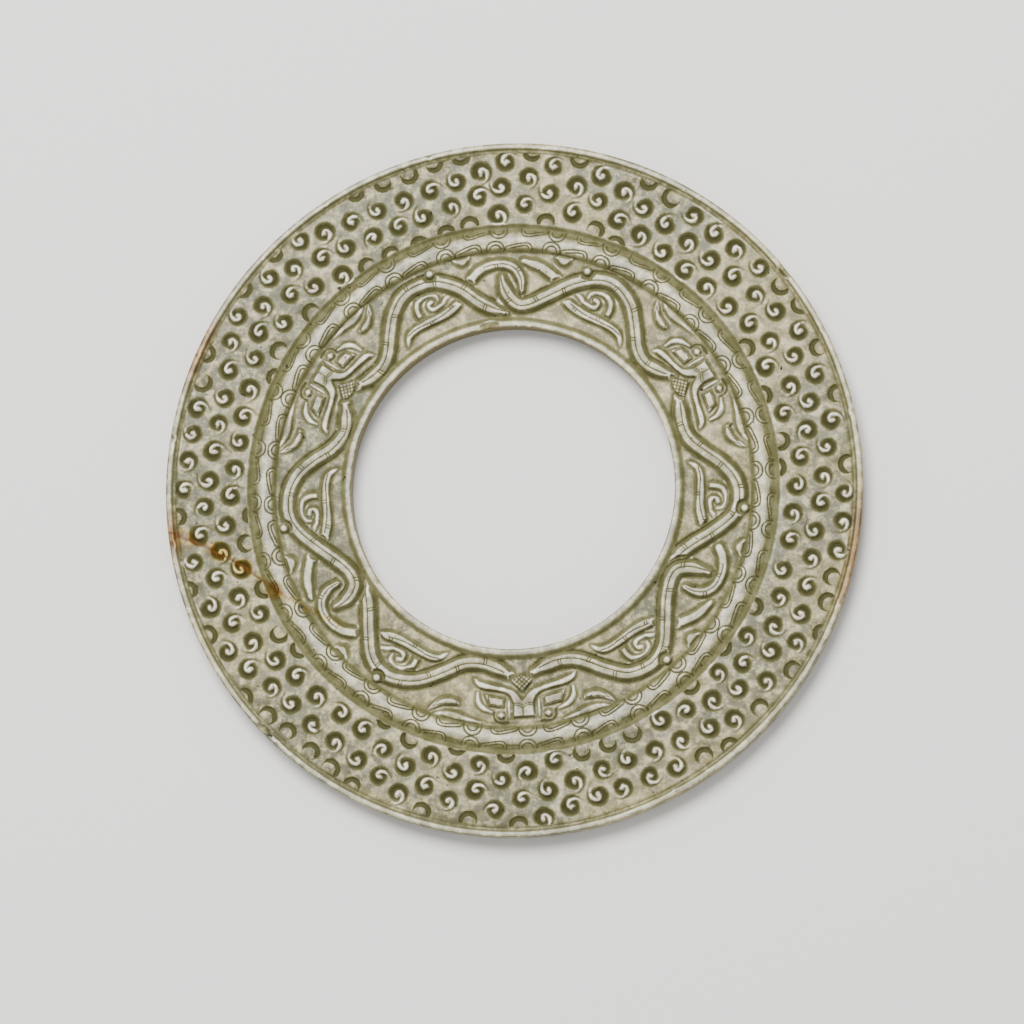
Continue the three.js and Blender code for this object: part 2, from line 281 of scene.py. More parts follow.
# Each half of a mask: the angle of the mask's middle, the half's side, how far its brow and its ear reach,
# where its limb starts and ends, its knob, and the middle line of its body. Angles run from that middle.
HALVES = [
    {"centre": 30.7, "side": 1, "brow": 0.94, "ear": 1.0, "limb": (23.0, 44.0), "knob": (36.4, 55.3),
     "body": [(2.5, 44.9), (6.2, 43.8), (12.0, 42.9), (16.5, 43.7), (20.6, 46.3), (25.0, 50.1), (29.5, 53.0),
              (34.0, 53.8), (38.5, 52.8), (43.9, 48.7), (48.8, 45.0), (53.0, 42.9), (57.3, 41.7)]},
    {"centre": 30.7, "side": -1, "brow": 0.91, "ear": 1.0, "limb": (21.8, 45.0), "knob": (40.2, 54.7),
     "body": [(4.0, 46.3), (7.4, 44.5), (12.4, 43.2), (17.3, 44.4), (22.2, 48.3), (26.7, 52.0), (32.0, 54.1),
              (36.6, 53.8), (42.3, 51.1), (48.9, 46.8), (54.0, 44.3), (57.6, 44.0), (60.4, 46.0),
              (61.9, 48.7), (62.2, 50.8)]},
    {"centre": 148.7, "side": 1, "brow": 0.87, "ear": 0.97, "limb": (22.4, 44.2), "knob": (37.6, 55.3),
     "body": [(2.5, 44.8), (6.2, 43.3), (11.5, 42.7), (16.0, 44.0), (20.7, 47.6), (25.1, 51.2), (29.6, 53.4),
              (34.5, 53.7), (39.0, 52.6), (44.2, 49.4), (48.6, 45.4), (53.0, 43.1), (56.0, 42.2)]},
    {"centre": 148.7, "side": -1, "brow": 0.97, "ear": 1.03, "limb": (24.4, 47.6), "knob": (40.8, 55.4),
     "body": [(4.2, 45.0), (7.8, 43.3), (12.8, 42.4), (18.5, 44.3), (22.8, 48.0), (27.1, 51.4), (32.0, 53.4),
              (37.4, 53.8), (42.2, 52.1), (47.6, 48.6), (53.8, 45.1), (58.5, 43.6), (62.2, 43.9),
              (64.4, 46.0), (65.1, 48.4), (64.9, 50.6)]},
    {"centre": -87.3, "side": 1, "brow": 0.94, "ear": 1.1, "limb": (23.9, 45.6), "knob": (38.4, 55.4),
     "body": [(3.5, 44.8), (7.0, 43.4), (12.5, 42.5), (18.1, 43.4), (22.6, 46.3), (28.5, 50.7), (34.1, 53.1),
              (38.5, 53.5), (43.0, 52.0), (47.8, 48.3), (52.6, 44.9), (56.3, 43.1), (60.0, 42.0)]},
    {"centre": -87.3, "side": -1, "brow": 1.08, "ear": 1.06, "limb": (23.3, 44.8), "knob": (38.7, 55.2),
     "body": [(4.0, 44.3), (8.0, 43.2), (13.0, 42.8), (18.5, 44.3), (24.3, 48.8), (28.6, 52.2), (33.0, 53.5),
              (37.0, 53.5), (41.2, 51.8), (46.8, 47.7), (51.3, 45.1), (56.5, 43.6), (60.2, 44.0),
              (62.3, 46.4), (63.0, 49.0), (63.2, 51.0)]},
]

# Straps are given as half width, crest height, slope of the sides and taper; shapes as crest height, slope
# of the sides and swell; knobs as radius and crest height; cut lines as half width and depth. Points are
# degrees from the middle line of a mask or a knot, and a radius.
BODY_HALF_WIDTH = 2.2
BODY_STRAP = (BODY_HALF_WIDTH, 6.5, 1.15, (0.7, 0.65, 4.0))
BODY_SAG = 0.34
BODY_LINE = (0.17, 0.16)
BODY_LINE_ASIDE = 0.2
BODY_LINE_START = 1.4
BODY_CROSS_REACH = 1.6
BODY_CROSS_START = 6.5
BODY_CROSS_PITCH = 6.9
BODY_CROSS_END = 3.0
BODY_KNOB = (1.2, 6.5)

# Cross cuts come in bowed pairs, and each reaches just past the middle line.
CROSS_LINE = (0.16, 0.14)
CROSS_BOW = 0.12
CROSS_GAP = 0.62
CROSS_OVERLAP = 0.1

LIMB_START = 23.0
LIMB_END = 44.0
LIMB_OUTER = [
    (44.2, 46.7), (42, 47.3), (39, 46.6), (36, 46), (32, 45.9), (28, 45.8), (25.5, 45.4), (23.8, 44.3),
    (23, 42.9), (22.8, 41.8),
]
LIMB_INNER = [
    (22.8, 41.8), (24.3, 42.4), (26, 43.2), (29, 43.5), (33, 43.4), (37, 43.4), (40, 43.9), (42.6, 45),
    (44.2, 46.7),
]
LIMB_SHAPE = (6.25, 0.5, 0.08)
LIMB_RIDGE = [(25.0, 44.3), (28, 44.7), (31, 44.5), (34, 44.5), (37.5, 44.9), (41, 46)]
LIMB_LINE = (0.16, 0.15)
LIMB_TOP_REACH = 1.0
LIMB_CROSS_PLACES = [6.5, 12.5]
LIMB_CROSS_REACH = 0.9
CURL = [(31, 45.6), (30.8, 48), (31.7, 50), (33.7, 51.1), (35.8, 50.9), (37, 49.8), (37.2, 48.8)]
CURL_STRAP = (1.1, 6.2, 0.7, (1.0, 0.5, 4.0))
CURL_TAIL = [
    (41.3, 49.3), (39.5, 48.5), (37.5, 47.3), (35.6, 46.9), (34.4, 47.5), (34.3, 48.5), (35.3, 48.9),
]
CURL_TAIL_STRAP = (0.85, 6.15, 0.6, (0.6, 1.0, 4.0))

KNOTS = [-28.3, 89.7, -149.3]
ARCH = [(-11.3, 51.2), (-9, 52.8), (-5.5, 53.8), (-2, 53.7), (0.6, 52.4), (2.1, 50), (2.4, 47.5)]
ARCH_HALF_WIDTH = 1.6
ARCH_SLOPE = 0.85
ARCH_TAPER = (1.0, 0.75, 4.0)
ARCH_UNDER_Z = 6.4
ARCH_OVER_Z = 6.5
ARCH_OVER_START = 4.0
ARCH_LINE = (0.15, 0.13)
ARCH_TOP_REACH = 1.2
ARCH_CROSS_PLACES = [7.0, 12.5]
ARCH_CROSS_REACH = 1.1
ARCH_TAIL = [(2.8, 54.5), (7, 53.4), (10.8, 51.5), (12.5, 50.2)]
ARCH_TAIL_STRAP = (ARCH_HALF_WIDTH, 6.3, ARCH_SLOPE, (0.8, 1.0, 3.0))
LEAVES = [
    [(-15.8, 57.1), (-14.4, 55.1), (-12.8, 54.3), (-11.2, 55.1), (-10.2, 57.1)],
    [(9.4, 57.1), (10.6, 55.1), (12.3, 54.1), (13.9, 54.7), (15.0, 57.1)],
]
LEAF_SHAPE = (6.1, 0.8, 0.05)

BROW_UPPER = [(0, 50.4), (1.2, 48.9), (2.8, 47.9), (5.5, 47.4), (9, 46.9), (12.3, 46.5), (15.3, 46.1)]
BROW_LOWER = [
    (15.3, 46.1), (14.2, 47.9), (12.8, 48.6), (10.5, 48.8), (7.4, 48.9), (5.2, 49.2), (3.7, 50.1), (3, 51.5),
]
MUZZLE_SIDE = [(3.0, 51.5), (2.9, 53.5), (3.1, 55)]
FACE_SHAPE = (6.3, 0.5, 0.08)
FACE_LINE = (0.15, 0.12)
WRINKLES = [[(0, 52.0), (1.5, 51.4), (2.6, 51.6)], [(0, 52.5), (1.5, 51.9), (2.6, 52.1)]]
MUZZLE_MIDDLE = [(0, 52.6), (0, 54.4)]
EYE = [(11.0, 49.6), (4.9, 50.0), (5.1, 52.6), (9.6, 52.4)]
EYE_SHAPE = (6.15, 0.28, 0.05)
EYE_LINE = (0.16, 0.15)
EYE_LINE_INWARD = 0.52
EYE_RIDGE = [(4.0, 50.6), (3.9, 51.9), (3.8, 53.4), (3.7, 54.8)]
EYE_RIDGE_STRAP = (0.4, 5.9, 0.3, (0.7, 0.7, 1.0))
CHEEK = [(13.1, 49.5), (12.6, 51.5), (11.1, 52.9), (8.5, 53.7)]
CHEEK_STRAP = (0.75, 6.15, 0.4, (0.6, 0.5, 2.5))
NOSTRIL = (5.85, 54.3)
NOSTRIL_KNOB = (0.95, 6.3)
NOSTRIL_GROOVE = [(7.7, 53.9), (7.3, 55.4), (5.8, 56.1), (4.1, 56)]
NOSTRIL_LINE = (0.5, 0.2)
LOZENGE = [
    (-3.3, 46.2), (-2.4, 45.1), (-1, 44.6), (1, 44.6), (2.4, 45.1), (3.3, 46.2), (1.7, 47.6), (0, 49.2),
    (-1.7, 47.6),
]
LOZENGE_SHAPE = (6.1, 0.3)
HATCH_PITCH = 0.78
HATCH_TURN = 0.75
HATCH_LINE = (0.15, 0.14)
HATCH_MARGIN = 0.05
EAR_BLADE = [
    [(6, 56.5), (9.5, 56.1), (12.5, 55.3), (15.5, 54.7), (18.0, 55.1), (20.6, 57)],
    [(20.6, 57), (14, 57), (6, 56.5)],
]
EAR_BLADE_SHAPE = (6.05, 0.5, 0.08)
EAR_LEAF = [
    [(14.8, 53.3), (15.3, 51.9), (18.0, 51.7), (20.1, 53.0), (21.3, 55.1), (21.7, 57)],
    [(21.7, 57), (20.2, 55.6), (18.5, 54.4), (16.8, 53.9), (14.8, 53.3)],
]
EAR_LEAF_SHAPE = (6.15, 0.45, 0.05)
EAR_LEAF_LINE = (0.15, 0.13)
EAR_LEAF_LINE_INWARD = 0.62


def cross_cuts(window, side, along, drawn, places, reach):
    """Pairs of short cuts across a body, each reaching from its middle line to one edge, in turn."""
    for number, place in enumerate(places):
        across = (np.abs(side) < reach) & drawn
        across &= side > -CROSS_OVERLAP if number % 2 else side < CROSS_OVERLAP
        for offset in (-CROSS_GAP / 2, CROSS_GAP / 2):
            score(window, along - place - offset - CROSS_BOW * side**2, *CROSS_LINE, across)


def carve_body(line):
    """A snake body, with a line along its back and pairs of cuts across it."""
    window, distance, side, along, drawn = raise_strap(line, *BODY_STRAP, sag=BODY_SAG)
    on_back = drawn & (distance < BODY_HALF_WIDTH) & (along > BODY_LINE_START)
    score(window, side - BODY_LINE_ASIDE, *BODY_LINE, on_back)
    places = np.arange(BODY_CROSS_START, length_of(line) - BODY_CROSS_END, BODY_CROSS_PITCH)
    cross_cuts(window, side, along, drawn, places, BODY_CROSS_REACH)


def stretched_limb(points, half):
    """The points of a limb, spread between the angles where this half's limb starts and ends."""
    start, end = half["limb"]
    length = LIMB_END - LIMB_START
    return [(start + (degrees - LIMB_START) * (end - start) / length, radius) for degrees, radius in points]


def carve_limb(half):
    """The limb that lies in a bend of the body, and the curl that springs from it with its tail."""
    place = (half["centre"], half["side"])
    outline = stretched_limb(LIMB_OUTER + LIMB_INNER[1:-1], half)
    corner = len(LIMB_OUTER)
    sides = [outline[:corner], outline[corner - 1:] + outline[:1]]
    raise_strap(smooth_line(laid(stretched_limb(CURL_TAIL, half), *place)), *CURL_TAIL_STRAP)
    raise_strap(smooth_line(laid(stretched_limb(CURL, half), *place)), *CURL_STRAP)
    raise_shape(outline_of(sides, *place), *LIMB_SHAPE)
    ridge = smooth_line(laid(stretched_limb(LIMB_RIDGE, half), *place))
    window = near(ridge, LIMB_TOP_REACH + LINE_MARGIN)
    distance, side, along = from_line(ridge, face_x[window], face_y[window])
    score(window, distance, *LIMB_LINE)
    cross_cuts(window, side, along, distance < LIMB_TOP_REACH, LIMB_CROSS_PLACES, LIMB_CROSS_REACH)


def carve_half_face(half):
    """One side of a mask's face: its ear, cheek, eye and nostril."""
    ear = (half["centre"], half["side"], half["ear"])
    brow = (half["centre"], half["side"], half["brow"])
    raise_shape(outline_of(EAR_BLADE, *ear), *EAR_BLADE_SHAPE)
    window, inward = raise_shape(outline_of(EAR_LEAF, *ear), *EAR_LEAF_SHAPE)
    score(window, inward - EAR_LEAF_LINE_INWARD, *EAR_LEAF_LINE)
    raise_strap(smooth_line(laid(CHEEK, *brow)), *CHEEK_STRAP)
    raise_strap(smooth_line(laid(EYE_RIDGE, *brow)), *EYE_RIDGE_STRAP)
    window, inward = raise_shape(laid(EYE, *brow), *EYE_SHAPE)
    score(window, inward - EYE_LINE_INWARD, *EYE_LINE)
    score_line(smooth_line(laid(NOSTRIL_GROOVE, *brow)), *NOSTRIL_LINE)
    raise_knob(laid([NOSTRIL], *brow)[0], *NOSTRIL_KNOB)


def face_side(half):
    """One side of the middle of a face, from the forehead out along the brow and down the muzzle."""
    brow = (half["centre"], half["side"], half["brow"])
    upper = smooth_line(laid(BROW_UPPER, *brow))
    lower = smooth_line(laid(BROW_LOWER, *brow))
    muzzle = smooth_line(laid(MUZZLE_SIDE, *brow))
    return np.vstack([upper[:-1], lower[:-1], muzzle])


def carve_middle_face(right, left):
    """The middle of a mask: brows and muzzle in one piece, and the hatched lozenge on the forehead."""
    centre = right["centre"]
    raise_shape(np.vstack([face_side(right), face_side(left)[::-1][:-1]]), *FACE_SHAPE)
    for wrinkle in WRINKLES:
        for side in (1, -1):
            score_line(smooth_line(laid(wrinkle, centre, side)), *FACE_LINE)
    score_line(smooth_line(laid(MUZZLE_MIDDLE, centre)), *FACE_LINE)
    window, inward = raise_shape(laid(LOZENGE, centre), *LOZENGE_SHAPE)
    axis = polar_point(centre, 1.0)
    for turn in (-HATCH_TURN, HATCH_TURN):
        slant = (
            face_x[window] * (axis[0] * math.cos(turn) - axis[1] * math.sin(turn))
            + face_y[window] * (axis[0] * math.sin(turn) + axis[1] * math.cos(turn))
        )
        gap = slant % HATCH_PITCH - HATCH_PITCH / 2
        score(window, gap, *HATCH_LINE, inward > HATCH_MARGIN)


# Lower forms come first and what passes over them later, so each knot's arch is laid under the bodies, and
# then all but its beginning over them.
for knot in KNOTS:
    for leaf in LEAVES:
        raise_shape(smooth_line(laid(leaf, knot)), *LEAF_SHAPE)
    raise_strap(smooth_line(laid(ARCH_TAIL, knot)), *ARCH_TAIL_STRAP)
    raise_strap(smooth_line(laid(ARCH, knot)), ARCH_HALF_WIDTH, ARCH_UNDER_Z, ARCH_SLOPE, ARCH_TAPER)
for half in HALVES:
    carve_limb(half)
    carve_half_face(half)
for half in sorted(HALVES, key=lambda half: -half["side"]):
    carve_body(smooth_line(laid(half["body"], half["centre"], half["side"])))
for right, left in zip(HALVES[0::2], HALVES[1::2]):
    carve_middle_face(right, left)
for knot in KNOTS:
    arch = smooth_line(laid(ARCH, knot))
    window, distance, side, along, drawn = raise_strap(
        arch, ARCH_HALF_WIDTH, ARCH_OVER_Z, ARCH_SLOPE, ARCH_TAPER, begin=ARCH_OVER_START
    )
    score(window, side, *ARCH_LINE, drawn & (distance < ARCH_TOP_REACH))
    cross_cuts(window, side, along, drawn, ARCH_CROSS_PLACES, ARCH_CROSS_REACH)
for half in HALVES:
    raise_knob(laid([half["knob"]], half["centre"], half["side"])[0], *BODY_KNOB)


# ---- The moulding's scallops ----
# Two rows of double scored lines run round the moulding, each a round lappet beside a long wave, one row
# with its feet at the inner edge and the other with its feet at the outer edge.

# Each row of scallops: the radius of its feet, which way it rises, which way it runs, and its first angle.
SCALLOP_ROWS = [(57.1, 1, -1, 3.7), (62.3, -1, 1, 3.1)]
SCALLOP_COUNT = 28
SCALLOP_STEP = 0.25
SCALLOP_LINE = (0.21, 0.2)

# The lines of one scallop, as millimetres along the row and away from its feet.
LAPPET = [(-2.1, 0), (-1.95, 1.2), (-1.15, 2.1), (0, 2.4), (1.15, 2.1), (1.95, 1.2), (2.1, 0)]
LAPPET_LINING = [(-1.35, 0.3), (-0.9, 1.1), (0, 1.45), (0.9, 1.1), (1.35, 0.3)]
WAVE = [(2.3, 0.1), (2.6, 0.9), (3.9, 1.25), (5.6, 1.65), (7.2, 1.85), (8.2, 1.6), (8.7, 0.8), (8.7, 0)]
WAVE_LINING = [(3.4, 0.45), (5, 0.8), (6.6, 1.15), (7.6, 1.1), (8, 0.4)]


def scallop_line(pairs, start, foot_radius, turn, rise):
    """One line of a scallop, laid along its row from an angle."""
    points = [
        polar_point(start + turn * math.degrees(along / foot_radius), foot_radius + rise * height)
        for along, height in pairs
    ]
    return smooth_line(points, SCALLOP_STEP)


random = np.random.default_rng(11)
for number in range(SCALLOP_COUNT):
    start = 360.0 * number / SCALLOP_COUNT
    for foot_radius, rise, turn, first_angle in SCALLOP_ROWS:
        begin = start + first_angle + random.uniform(-0.5, 0.5)
        depth = random.uniform(0.9, 1.08)
        for pairs in (LAPPET, LAPPET_LINING, WAVE, WAVE_LINING):
            sized = [(along, height * depth) for along, height in pairs]
            score_line(scallop_line(sized, begin, foot_radius, turn, rise), *SCALLOP_LINE)


# ---- The grain field ----
# Whorls are set out on a hexagonal grid that runs straight across the ring, so both edges of the field cut
# through some. Each is a small pointed grain with a ridge that curls out of it and runs into the ground.

GRAIN_PITCH = 6.68
GRAIN_ROW_ANGLE = math.radians(20.5)
GRID_ORIGIN = np.array([-3.13, -2.16])
GRID_REACH = 16
FIELD_START = 63.5
FIELD_MIDDLE = 72.0
FIELD_END = 80.6

# A grain is whole where its middle is this far inside the field's edges, and cut through where it isn't,
# up to a little outside them.
WHOLE_FROM_START = 1.9
WHOLE_FROM_END = 1.7
CUT_OUTSIDE = 1.2

# What the hand varied from grain to grain: place, turn, hand and size.
PLACE_WANDER = 0.4
TURN_STEP = 2.1
TURN_WANDER = 0.5
FIRST_HAND_SHARE = 0.85
SIZES = (0.93, 1.06)
CRESCENT_WANDER = 0.7

# The moat around a grain is wider where its ridge runs out of it (the tail), and narrower at the ridge's
# far side (the draw). Its wall, its floor and the ridge's flanks are worked from these.
GRAIN_RADIUS = 2.57
TAIL_REACH = 1.0
TAIL_TURN = 0.6
START_DRAW = 0.45
DRAW_TURN = 5.0
DRAW_SPAN = 1.2
GRAIN_WINDOW = 3.8
GRAIN_TURN = math.radians(330.0)
GRAIN_DEPTH = 0.66
GRAIN_WALL_SLOPE = 0.74
RIDGE_STEPS = 22
RIDGE_FLAT = 0.07
RIDGE_FLANK = 1.1
TIP_RISE = 0.16
TIP_TOP = TIP_RISE + 0.1
TIP_FLAT = 0.2
TIP_FLANK = 1.2

# A cut whorl's crescent: its radius, its half width at the narrow end and how much wider it gets, and its
# depth. It widens and deepens toward its middle, by the cosine of the turn away from there.
CRESCENT_RADIUS = 1.9
CRESCENT_REACH = 0.9
CRESCENT_NARROW = 0.18
CRESCENT_WIDENING = 0.55
CRESCENT_WIDENS = (-0.5, 1.3)
CRESCENT_DEPTH = 0.42
CRESCENT_DEEPENS = (-0.9, 1.2)
CIRCLE_POINTS = 37


def grown(value, start, span):
    """How far a value has grown, from 0 at the start to 1 at the end of the span."""
    return np.clip((value - start) / span, 0.0, 1.0)


def ridge_reach(share):
    """How far a ridge is from its grain's middle, from its tip (0) to where it meets the ground (1)."""
    return 0.22 + 0.8 * share + 0.2 * share**2 + 2.1 * share**5


def whorl_ridge(centre, end_angle, hand, size):
    """The middle line of the ridge that curls out of a grain's tip."""
    share = np.linspace(0.0, 1.0, RIDGE_STEPS)
    radius = size * ridge_reach(share)
    angle = end_angle + hand * GRAIN_TURN * (1.0 - share)
    return np.column_stack([centre[0] + radius * np.cos(angle), centre[1] + radius * np.sin(angle)])


def carve_whorl(centre, end_angle, hand, size):
    """Grind a moat into the field, and leave the grain's tip and its curling ridge standing in it."""
    ridge = whorl_ridge(centre, end_angle, hand, size)
    window = near([centre], GRAIN_WINDOW * size)
    x, y = face_x[window], face_y[window]
    away_x, away_y = x - centre[0], y - centre[1]
    radius = np.hypot(away_x, away_y)
    back_turn = (hand * (np.arctan2(away_y, away_x) - end_angle)) % (2.0 * math.pi)
    tail = TAIL_REACH * np.exp(-back_turn / TAIL_TURN)
    draw = START_DRAW * eased(grown(back_turn, DRAW_TURN, DRAW_SPAN))
    edge = GRAIN_RADIUS + tail - draw
    ridge_radius = size * ridge_reach(np.clip(1.0 - back_turn / GRAIN_TURN, 0.0, 1.0))
    edge = np.where(radius < ridge_radius, np.minimum(edge, GRAIN_RADIUS - START_DRAW), edge)
    distance, _, along = from_line(ridge, x, y)
    left_to_run = np.clip(1.0 - along / along.max(), 0.0, 1.0)
    crest = TIP_RISE * left_to_run**1.5
    moat_wall = -GRAIN_WALL_SLOPE * (size * edge - radius)
    ridge_side = crest - RIDGE_FLANK * np.maximum(distance - RIDGE_FLAT, 0.0)
    from_tip = np.hypot(x - ridge[0, 0], y - ridge[0, 1])
    tip = TIP_TOP - TIP_FLANK * np.maximum(from_tip - TIP_FLAT, 0.0)
    carved = np.maximum(np.maximum(moat_wall, ridge_side), np.maximum(tip, -GRAIN_DEPTH))
    from_hole = np.hypot(x, y)
    inside = (radius < size * edge) & (from_hole > FIELD_START) & (from_hole < FIELD_END)
    face_z[window] += np.where(inside, carved, 0.0)


def carve_cut_whorl(centre, size, facing):
    """Where the edge of the field cuts through a grain only a crescent of its outline was ground."""
    angles = np.linspace(0.0, 2.0 * math.pi, CIRCLE_POINTS)
    radius = CRESCENT_RADIUS * size
    circle = np.column_stack([centre[0] + radius * np.cos(angles), centre[1] + radius * np.sin(angles)])
    window = near(circle, CRESCENT_REACH)
    x, y = face_x[window], face_y[window]
    distance, _, _ = from_line(circle, x, y)
    turned = np.cos(np.arctan2(y - centre[1], x - centre[0]) - facing)
    from_hole = np.hypot(x, y)
    half_width = CRESCENT_NARROW + CRESCENT_WIDENING * eased(grown(turned, *CRESCENT_WIDENS))
    depth = CRESCENT_DEPTH * eased(grown(turned, *CRESCENT_DEEPENS))
    score(window, distance, half_width, depth, (from_hole > FIELD_START) & (from_hole < FIELD_END))


def grid_places():
    """Row, column and place of each grain of a hexagonal grid."""
    slant = GRAIN_ROW_ANGLE + math.pi / 3
    first = np.array([math.cos(GRAIN_ROW_ANGLE), math.sin(GRAIN_ROW_ANGLE)])
    second = np.array([math.cos(slant), math.sin(slant)])
    for row in range(-GRID_REACH, GRID_REACH + 1):
        for column in range(-GRID_REACH, GRID_REACH + 1):
            yield row, column, GRID_ORIGIN + GRAIN_PITCH * (column * first + row * second)


random = np.random.default_rng(23)
for row, column, place in grid_places():
    place = place + random.uniform(-PLACE_WANDER, PLACE_WANDER, 2)
    end_angle = (column + 2 * row) * TURN_STEP + random.uniform(-TURN_WANDER, TURN_WANDER)
    hand = 1 if random.random() < FIRST_HAND_SHARE else -1
    size = random.uniform(*SIZES)
    from_hole = math.hypot(*place)
    if FIELD_START + WHOLE_FROM_START < from_hole < FIELD_END - WHOLE_FROM_END:
        carve_whorl(place, end_angle, hand, size)
    elif FIELD_START - CUT_OUTSIDE < from_hole < FIELD_END + CUT_OUTSIDE:
        outward = math.atan2(place[1], place[0])
        facing = outward if from_hole < FIELD_MIDDLE else outward + math.pi
        carve_cut_whorl(place, size, facing + random.uniform(-CRESCENT_WANDER, CRESCENT_WANDER))


# ---- The underside ----
# The underside was ground flat, with plain rims and two shallow sunk rings, and the outer of these is only
# marked with low round grains, which stop just short of what the disc lies on.

BACK_PROFILE = [
    (HOLE_RADIUS, 0.0), (40.6, 0.0), (41.2, 0.3), (56.6, 0.3), (57.0, 0.0), (63.1, 0.0), (63.4, 0.25),
    (80.9, 0.25), (81.2, 0.0), (OUTER_RADIUS, 0.0),
]
BACK_START = OUTER_RADIUS - 0.5
BACK_END = HOLE_RADIUS + 0.4
BACK_ROW_STEP = 0.45
BACK_GRAIN_RADIUS = 1.75
BACK_GRAIN_REACH = 2.1
BACK_GRAIN_SIDE = 1.1
BACK_GRAIN_RISE = 0.22

back_radius = np.arange(BACK_START, BACK_END, -BACK_ROW_STEP)[:, None]
back_profile_radius, back_profile_z = (np.array(values) for values in zip(*BACK_PROFILE))
back_z = np.interp(back_radius, back_profile_radius, back_profile_z) * np.ones((1, COLUMNS))
back_x, back_y = back_radius * np.cos(column_angle), back_radius * np.sin(column_angle)
from_grain = np.full(back_z.shape, FAR)
columns_reached = int(BACK_GRAIN_REACH / FIELD_START / column_angle[1])
for _, _, (grain_x, grain_y) in grid_places():
    from_hole = math.hypot(grain_x, grain_y)
    if FIELD_START + BACK_GRAIN_RADIUS < from_hole < FIELD_END - BACK_GRAIN_RADIUS:
        rows = np.flatnonzero(np.abs(back_radius[:, 0] - from_hole) < BACK_GRAIN_REACH)
        middle = int(math.atan2(grain_y, grain_x) / column_angle[1])
        columns = np.arange(middle - columns_reached, middle + columns_reached + 1) % COLUMNS
        window = np.ix_(rows, columns)
        away = np.hypot(back_x[window] - grain_x, back_y[window] - grain_y)
        from_grain[window] = np.minimum(from_grain[window], away)
back_z -= BACK_GRAIN_RISE * eased((BACK_GRAIN_RADIUS - from_grain) / BACK_GRAIN_SIDE)


# ---- Chips and nicks ----
# The jade is tough but brittle at its edges. Knocks took small shell-shaped chips off the rim and off the
# edge of the hole, and left many nicks in the rim.

# Angle, depth and width of the chips that can be told apart.
RIM_CHIPS = [
    (38.2, 0.9, 2.2), (-135.7, 0.8, 2.6), (12.0, 0.35, 1.0), (-62.0, 0.3, 1.2), (104.0, 0.3, 0.9),
    (171.0, 0.35, 1.1), (-171.0, 0.3, 1.3), (-20.0, 0.3, 0.9),
]
HOLE_CHIPS = [(98.0, 0.6, 2.4), (-40.0, 0.25, 0.8), (215.0, 0.3, 0.9)]
NICK_COUNT = 40
NICK_DEPTHS = (0.08, 0.2)
NICK_WIDTHS = (0.4, 0.9)
CHIP_TOP = THICKNESS - 0.2
CHIP_CURVE = 1.2
CHIP_MARGIN = 0.5


def chip_edge(edge_radius, angle, depth, width):
    """Take a shallow bowl off an edge of the face."""
    place = polar_point(angle, edge_radius)
    window = near([place], width + CHIP_MARGIN)
    away = np.hypot(face_x[window] - place[0], face_y[window] - place[1])
    bowl = CHIP_TOP - depth * CHIP_CURVE + CHIP_CURVE * depth * (away / width) ** 2
    face_z[window] = np.where(away < width, np.minimum(face_z[window], bowl), face_z[window])


random = np.random.default_rng(5)
for rim_chip in RIM_CHIPS:
    chip_edge(OUTER_RADIUS, *rim_chip)
for _ in range(NICK_COUNT):
    angle = random.uniform(0, 360)
    depth = random.uniform(*NICK_DEPTHS)
    chip_edge(OUTER_RADIUS, angle, depth, random.uniform(*NICK_WIDTHS))
for hole_chip in HOLE_CHIPS:
    chip_edge(HOLE_RADIUS, *hole_chip)


# ---- Where the face is cut and deep (painted shade) and where it stands high (painted highlight) ----
# The ground-out sides, grooves and lines were never polished as the flats were, and they are painted olive
# as painted shade. Crests and high flats are painted pale as a painted highlight. A mask of 0 to 1 over the
# face says where each of these is.

# Where each mask begins and the span over which it grows to 1: the steepness of a side, the depth of a
# narrow recess, the height of a narrow ridge, the depth of a cut line, and how far a crest stands above
# the face around it.
SIDE_STEEPNESS = (0.15, 0.5)
RECESS_DEPTH = (0.02, 0.1)
RIDGE_HEIGHT = (0.13, 0.12)
LINE_DEPTH = (0.0, 0.085)
CREST_HEIGHT = (0.1, 0.52)
BRIDGE_STEPS = 2
WORN_STEPS = 3
SURROUND_STEPS = 110

# Between the first two radii the face isn't part of the ring's turned edges. The moulding's middle parts
# the band from the field.
FACE_START = 39.2
FACE_END = 82.1
MOULDING_RADIUS = 60.0

# Moats in the field take painted shade all over below one level, and high flats take a little painted
# highlight above another.
MOAT_Z = 5.98
MOAT_SPAN = 0.25
HIGH_FLAT_Z = 6.34
HIGH_FLAT_SPAN = 0.3
HIGH_FLAT_HIGHLIGHT = 0.4

# The darkest painted shade: how far below the field or the band it begins and its span, and its greatest
# share.
FIELD_DEEP = (0.06, 0.28)
BAND_DEEP = (0.04, 0.2)
BAND_DEEP_SHARE = 0.15
LINE_DEEP_SHARE = 0.8


def slopes_of(grid):
    """Rise per millimetre outward and around."""
    outward = np.gradient(grid, row_radius, axis=0)
    around = (np.roll(grid, -1, 1) - np.roll(grid, 1, 1)) / (2 * row_radius[:, None] * column_angle[1])
    return outward, around


def beside(grid):
    """For each place, what lies one row nearer the hole and one row nearer the rim."""
    return np.vstack([grid[:1], grid[:-1]]), np.vstack([grid[1:], grid[-1:]])


def blurred(grid, times):
    """The grid, averaged with its neighbours so many times across the rows and around the ring."""
    for _ in range(times):
        inner, outer = beside(grid)
        grid = (inner + 2 * grid + outer) / 4
    for _ in range(times):
        grid = (np.roll(grid, 1, 1) + 2 * grid + np.roll(grid, -1, 1)) / 4
    return grid


def widened(grid, steps, pick):
    """Each place takes the highest (or lowest) value found within so many steps of it."""
    for _ in range(steps):
        grid = pick(grid, pick(*beside(grid)))
        grid = pick(grid, pick(np.roll(grid, 1, 1), np.roll(grid, -1, 1)))
    return grid
